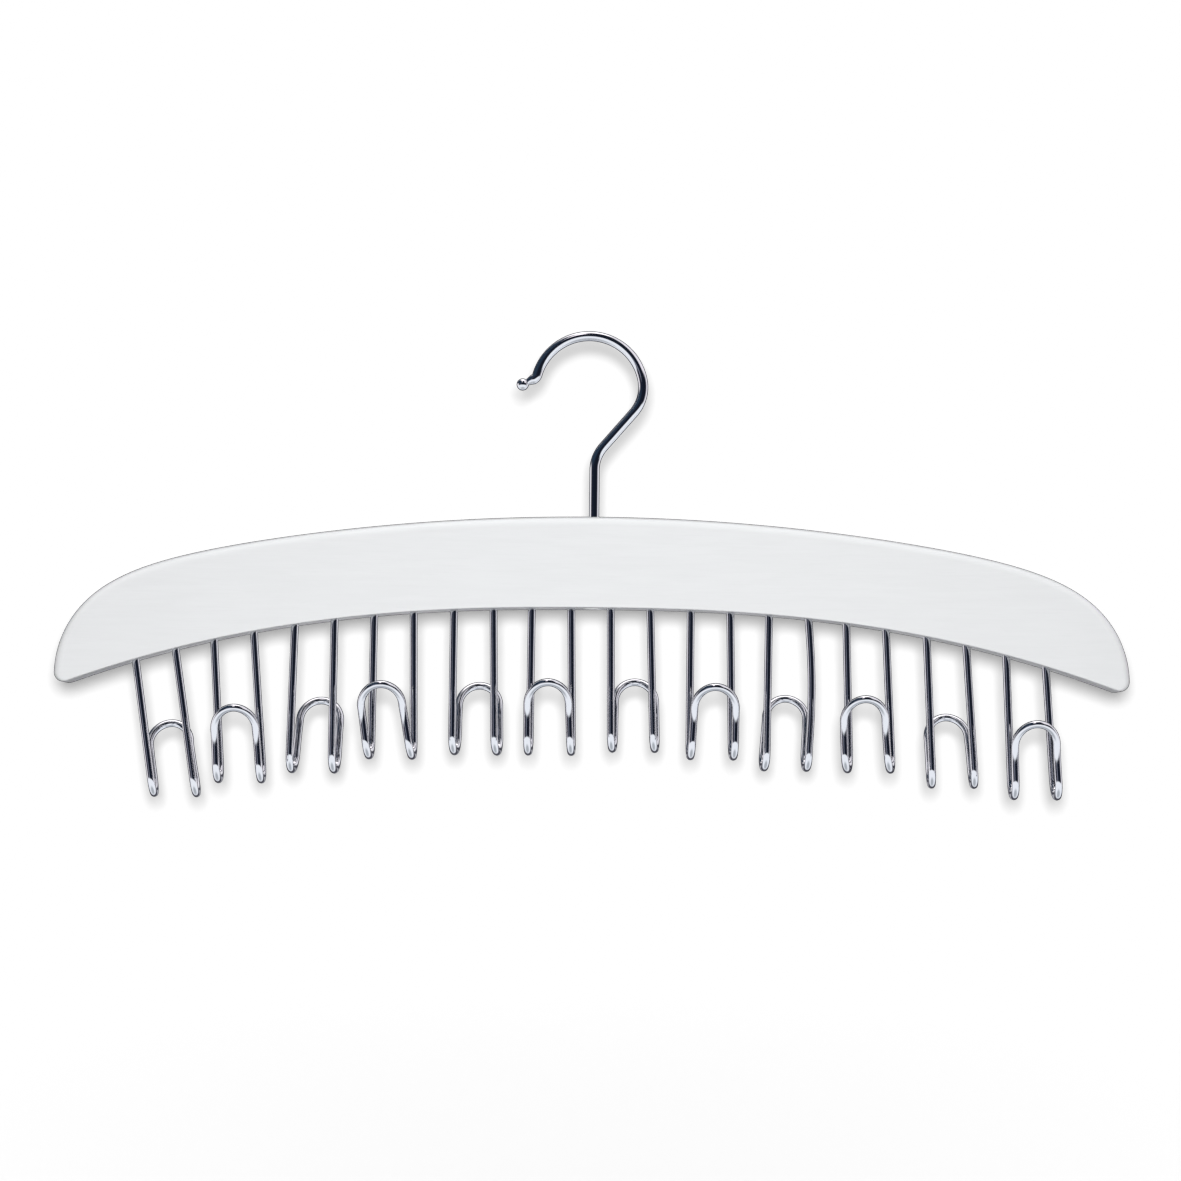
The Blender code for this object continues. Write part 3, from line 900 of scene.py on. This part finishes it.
def chrome_material():
    """Bright chrome on drawn wire, with slight polishing waves and specks."""
    material, tree, shader, place = new_material(CHROME_NAME)
    colour = Vector(belt_hook_settings().chrome)
    marks = place_group(tree, smudge_group(), place)
    clouds, specks = marks["Clouds"], marks["Specks"]
    tone = add_mix(tree, clouds, colour * CLOUD_TONE, colour)
    tone = add_mix(tree, add_math(tree, "MULTIPLY", specks, 0.25), tone, colour * SPECK_TONE)
    tree.links.new(tone, shader.inputs["Base Color"])
    shader.inputs["Metallic"].default_value = 1
    shader.inputs["Specular Tint"].default_value = (0.45, 0.45, 0.48, 1)
    set_roughness(tree, shader, clouds, 0.05, 0.10)
    waves = add_noise(tree, place, scale=160, detail=2)
    height = add_math(tree, "ADD", add_math(tree, "MULTIPLY", specks, -0.12), waves)
    add_bump(tree, shader, height, CHROME_BUMP)
    return material


def shared_chrome():
    """The one chrome that all wires share, made when it is first asked for."""
    return bpy.data.materials.get(CHROME_NAME) or chrome_material()


def zinc_material():
    """Dull zinc on a stamped washer."""
    material, tree, shader, place = new_material("zinc_steel")
    marks = place_group(tree, smudge_group(), place)
    tone = add_mix(tree, marks["Clouds"], (0.42, 0.43, 0.45), (0.62, 0.62, 0.61))
    tree.links.new(tone, shader.inputs["Base Color"])
    shader.inputs["Metallic"].default_value = 1
    set_roughness(tree, shader, marks["Clouds"], 0.3, 0.5)
    add_bump(tree, shader, marks["Specks"], ZINC_BUMP)
    return material


# Studio

# Azimuth in degrees from the hanger's front, positive to the right, and the colour that polished metal
# sees there near the horizon
HORIZON = (
    (-180, (0.78, 0.78, 0.80)),
    (-112, (0.98, 0.96, 1.00)),
    (-92, (0.95, 0.92, 0.96)),
    (-83, (0.42, 0.40, 0.44)),
    (-74, (0.020, 0.020, 0.034)),
    (-40, (0.010, 0.014, 0.028)),
    (10, (0.008, 0.011, 0.020)),
    (57, (0.006, 0.009, 0.018)),
    (68, (0.036, 0.036, 0.052)),
    (77, (0.26, 0.25, 0.29)),
    (86, (0.62, 0.60, 0.65)),
    (102, (0.94, 0.92, 0.96)),
    (180, (0.78, 0.78, 0.80)),
)

# Soft patches over the horizon: azimuth and elevation of the middle, both half widths and the edge's
# softness, all in degrees, and the colour
PATCHES = (
    (-29, -4, 10, 8, 5, (0.21, 0.22, 0.28)),
    (-78, 38, 56, 24, 14, (0.020, 0.036, 0.062)),
    (80, 46, 38, 22, 10, (0.90, 0.86, 0.92)),
    (-12, 52, 8, 12, 6, (1.5, 1.42, 1.52)),
)

# Level layers of colour over the rest: the elevation in degrees where each sets in, the one where it is
# full, and the colour
CEILING = (65, 76, (1.90, 1.80, 1.86))
FLOOR = (-9, -16, (0.90, 0.93, 0.99))
UNDERNEATH = (-46, -72, (0.44, 0.47, 0.51))

# A dim ring on the wall behind, by how far a direction points back: where it sets in and is full, where it
# fades and ends, and the colour
WALL_RING = ((0.60, 0.72), (0.93, 0.98), (0.09, 0.09, 0.11))

# Light on surfaces that aren't polished, from the sky and from the wall behind: two levels of a direction's
# height or depth, and the strength at each
SKY_COLOUR = (0.99, 0.99, 1.0)
SKY_BY_HEIGHT = (0.45, 0.8, 0.03, 1.4)
SKY_BY_DEPTH = (-0.3, 0.3, 1.2, 0.2)
WALL_BY_HEIGHT = (0.3, 0.7, 1, 0)
WALL_BY_DEPTH = (-0.15, 0.3, 0, 0.42)

# Place of the lamp behind the hanger, counted from the point that is lit
BACK_LAMP_PLACE = Vector((0.5, 1.4, 0.9))


def add_layer(tree, base, climb, layer):
    """Lays one level layer of colour over the base."""
    clear, full, colour = layer
    return add_mix(tree, add_range(tree, climb, clear, full, 0, 1), base, colour)


def add_patch(tree, base, turn, climb, patch):
    """Lays one soft-edged patch of colour over the base."""
    middle, height, half_width, half_height, softness, colour = patch
    shares = []
    for value, centre, half in ((turn, middle, half_width), (climb, height, half_height)):
        offset = add_math(tree, "ABSOLUTE", add_math(tree, "SUBTRACT", value, centre))
        shares.append(add_range(tree, offset, half - softness / 2, half + softness / 2, 1, 0))
    return add_mix(tree, add_math(tree, "MULTIPLY", *shares), base, colour)


def studio_reflection(tree, direction):
    """What polished metal sees: a dark room in front, white paper behind and pale sheets above and below."""
    x, y, z = add_split(tree, direction)
    turn = add_math(tree, "ARCTAN2", x, add_math(tree, "MULTIPLY", y, -1))
    turn = add_math(tree, "DEGREES", turn)
    climb = add_math(tree, "DEGREES", add_math(tree, "ARCSINE", z))
    ramp = tree.nodes.new("ShaderNodeValToRGB")
    tree.links.new(add_range(tree, turn, -180, 180, 0, 1, "LINEAR"), ramp.inputs["Fac"])
    stops = ramp.color_ramp.elements
    stops.remove(stops[-1])
    for index, (azimuth, colour) in enumerate(HORIZON):
        position = (azimuth + 180) / 360
        stop = stops[0] if index == 0 else stops.new(position)
        stop.position = position
        stop.color = opaque(colour)
    room = add_layer(tree, ramp.outputs["Color"], climb, CEILING)
    for patch in PATCHES:
        room = add_patch(tree, room, turn, climb, patch)
    room = add_layer(tree, room, climb, FLOOR)
    room = add_layer(tree, room, climb, UNDERNEATH)
    start, end, colour = WALL_RING
    ring = add_math(tree, "MULTIPLY", add_range(tree, y, *start, 0, 1), add_range(tree, y, *end, 1, 0))
    return add_mix(tree, ring, room, colour)


def soft_sky(tree, direction):
    """Strength of the light on surfaces that aren't polished, by the direction that it comes from."""
    _, y, z = add_split(tree, direction)
    sky = add_math(tree, "MULTIPLY", add_range(tree, z, *SKY_BY_HEIGHT), add_range(tree, y, *SKY_BY_DEPTH))
    wall = add_math(tree, "MULTIPLY", add_range(tree, z, *WALL_BY_HEIGHT), add_range(tree, y, *WALL_BY_DEPTH))
    return add_math(tree, "ADD", sky, wall)


def build_world():
    """White to the camera, a product studio to polished metal, and soft light from above to the rest."""
    world = bpy.data.worlds.new("studio")
    bpy.context.scene.world = world
    world.use_nodes = True
    tree = world.node_tree
    tree.nodes.clear()
    direction = tree.nodes.new("ShaderNodeTexCoord").outputs["Generated"]
    path = tree.nodes.new("ShaderNodeLightPath").outputs
    soft = add_background(tree, SKY_COLOUR, soft_sky(tree, direction))
    polished = add_background(tree, studio_reflection(tree, direction))
    white = add_background(tree, (1, 1, 1))
    sharp_ray = add_math(tree, "ADD", path["Is Glossy Ray"], path["Is Transmission Ray"], clamp=True)
    lit = add_shader_mix(tree, sharp_ray, soft, polished)
    seen = add_shader_mix(tree, path["Is Camera Ray"], lit, white)
    output = tree.nodes.new("ShaderNodeOutputWorld")
    tree.links.new(seen, output.inputs["Surface"])


def sweep_object():
    """A paper sweep, bent up from floor to wall, that takes the object's shadow."""
    studio = studio_settings()
    floor_z = -studio.floor_drop
    cove = studio.cove_radius
    turning = Vector((studio.wall_gap - cove, 0, floor_z + cove))
    cove_steps = 24
    cove_line = arc_points(turning, cove, -math.pi / 2, 0, cove_steps)
    line = [Vector((-studio.reach, 0, floor_z)), *cove_line, Vector((studio.wall_gap, 0, studio.reach))]
    sweep = bmesh.new()
    verts = [sweep.verts.new((-studio.reach, point.x, point.z)) for point in line]
    edges = [sweep.edges.new(pair) for pair in zip(verts, verts[1:])]
    grown = bmesh.ops.extrude_edge_only(sweep, edges=edges)["geom"]
    far_side = [item for item in grown if isinstance(item, bmesh.types.BMVert)]
    bmesh.ops.translate(sweep, verts=far_side, vec=Vector((2 * studio.reach, 0, 0)))
    for face in sweep.faces:
        face.normal_update()
        if face.normal.z - face.normal.y < 0:
            face.normal_flip()
    mesh = bpy.data.meshes.new("sweep")
    sweep.to_mesh(mesh)
    sweep.free()
    obj = mesh_object("sweep", mesh)
    obj.data.materials.append(paper_material())
    obj.is_shadow_catcher = True
    obj.visible_diffuse = False
    obj.visible_glossy = False
    obj.visible_shadow = False


def paper_material():
    """White paper that can be looked through from behind."""
    material, tree, shader, place = new_material("white_paper")
    fibres = add_noise(tree, place, scale=300, detail=3)
    tone = add_mix(tree, fibres, (0.90, 0.90, 0.90), (0.94, 0.94, 0.94))
    tree.links.new(tone, shader.inputs["Base Color"])
    shader.inputs["Roughness"].default_value = 0.9
    clear = tree.nodes.new("ShaderNodeBsdfTransparent").outputs["BSDF"]
    behind = tree.nodes.new("ShaderNodeNewGeometry").outputs["Backfacing"]
    mixed = add_shader_mix(tree, behind, shader.outputs["BSDF"], clear)
    tree.links.new(mixed, tree.nodes["Material Output"].inputs["Surface"])
    return material


def add_lamp(name, place, aim, radius, power):
    """A round white lamp that polished metal doesn't mirror."""
    lamp = bpy.data.lights.new(name, "AREA")
    lamp.shape = "DISK"
    lamp.size = 2 * radius
    lamp.energy = power
    obj = linked_object(name, lamp)
    obj.location = place
    obj.rotation_mode = "QUATERNION"
    obj.rotation_quaternion = (aim - place).to_track_quat("-Z", "Y")
    obj.visible_glossy = False


def build_lamps(camera_place):
    """A small lamp over the camera that throws the short shadow, and one that lights the back."""
    studio = studio_settings()
    aim = STEM - Vector((0, 0, studio.lamp_aim_drop))
    over_camera = camera_place + Vector((0, -studio.lamp_setback, studio.lamp_rise))
    add_lamp("front_lamp", over_camera, aim, studio.lamp_radius, studio.lamp_power)
    add_lamp("back_lamp", aim + BACK_LAMP_PLACE, aim, studio.back_lamp_radius, studio.back_lamp_power)


def build_camera():
    """The camera at the photograph's viewing angle, turned by as much as the hanger hangs out of level."""
    studio = studio_settings()
    place = STEM + Vector((studio.camera_side, -studio.camera_distance, -studio.camera_drop))
    aim = STEM + Vector((-studio.aim_side, 0, -studio.aim_drop))
    camera = bpy.data.cameras.new("camera")
    camera.sensor_width = 36
    spread = studio.view_width / studio.camera_distance
    camera.lens = camera.sensor_width / spread * (aim - place).length / studio.camera_distance
    camera.clip_start = 0.01
    camera.clip_end = 50
    obj = linked_object("camera", camera)
    facing = (aim - place).to_track_quat("-Z", "Y").to_matrix()
    obj.matrix_world = Matrix.Translation(place) @ (facing @ Matrix.Rotation(studio.tilt, 3, "Z")).to_4x4()
    bpy.context.scene.camera = obj
    return obj


# Operators


class HANGER_OT_bar(bpy.types.Operator):
    """Build the lacquered wooden bar"""

    bl_idname = "hanger.bar"
    bl_label = "Wooden bar"

    def execute(self, context):
        dress(bar_object(), lacquer_material(), "bar", "white_lacquer", "wood_bar")
        return {"FINISHED"}


class HANGER_OT_rail_hook(bpy.types.Operator):
    """Build the swivelling rail hook with its ball end"""

    bl_idname = "hanger.rail_hook"
    bl_label = "Rail hook"

    def execute(self, context):
        piece = wire_object("rail_hook_wire", rail_hook_route(), RAIL_HOOK_SIDES)
        dress(piece, shared_chrome(), "rail_hook", "bright_chrome", "swivel_hook")
        return {"FINISHED"}


class HANGER_OT_washer(bpy.types.Operator):
    """Build the washer that keeps the rail hook in the bar"""

    bl_idname = "hanger.washer"
    bl_label = "Washer"

    def execute(self, context):
        dress(washer_object(), zinc_material(), "rail_hook", "zinc_steel", "hook_washer")
        return {"FINISHED"}


class HANGER_OT_belt_hooks(bpy.types.Operator):
    """Build the row of double wire belt hooks"""

    bl_idname = "hanger.belt_hooks"
    bl_label = "Belt hooks"

    def execute(self, context):
        for index in range(HOOK_COUNT):
            number = f"{index + 1:02d}"
            piece = wire_object(f"belt_hook_wire_{number}", belt_hook_route(index), BELT_HOOK_SIDES)
            dress(piece, shared_chrome(), "bar", "bright_chrome", f"belt_hook_{number}")
        return {"FINISHED"}


class HANGER_OT_studio(bpy.types.Operator):
    """Set up the paper sweep, light and camera"""

    bl_idname = "hanger.studio"
    bl_label = "Studio"

    def execute(self, context):
        sweep_object()
        build_world()
        camera = build_camera()
        build_lamps(camera.location)
        context.scene.view_settings.view_transform = "Standard"
        return {"FINISHED"}


class HANGER_PT_panel(bpy.types.Panel):
    """Sizes, colours and building steps of the belt hanger"""

    bl_idname = "HANGER_PT_panel"
    bl_label = "Belt hanger"
    bl_space_type = "VIEW_3D"
    bl_region_type = "UI"
    bl_category = "Belt hanger"

    def draw(self, context):
        for title, settings, _, operator in SECTIONS:
            box = self.layout.box()
            box.label(text=title)
            group = getattr(context.scene, settings)
            for name in group.bl_rna.properties.keys():
                if name not in ("rna_type", "name"):
                    box.prop(group, name)
            box.operator(operator.bl_idname)


# Title in the panel, name of the settings in the scene, their class and the step that builds from them
SECTIONS = (
    ("Bar", "hanger_bar", BarSettings, HANGER_OT_bar),
    ("Rail hook", "hanger_rail_hook", RailHookSettings, HANGER_OT_rail_hook),
    ("Swivel", "hanger_swivel", SwivelSettings, HANGER_OT_washer),
    ("Belt hooks", "hanger_belt_hooks", BeltHookSettings, HANGER_OT_belt_hooks),
    ("Studio", "hanger_studio", StudioSettings, HANGER_OT_studio),
)

CLASSES = (*(kind for section in SECTIONS for kind in section[2:]), HANGER_PT_panel)


def register():
    for kind in CLASSES:
        bpy.utils.register_class(kind)
    for _, settings, group, _ in SECTIONS:
        setattr(bpy.types.Scene, settings, bpy.props.PointerProperty(type=group))


def unregister():
    for _, settings, _, _ in SECTIONS:
        delattr(bpy.types.Scene, settings)
    for kind in reversed(CLASSES):
        bpy.utils.unregister_class(kind)


def main():
    register()
    bpy.ops.hanger.bar()
    bpy.ops.hanger.rail_hook()
    bpy.ops.hanger.washer()
    bpy.ops.hanger.belt_hooks()
    bpy.ops.hanger.studio()


if __name__ == "__main__":
    main()
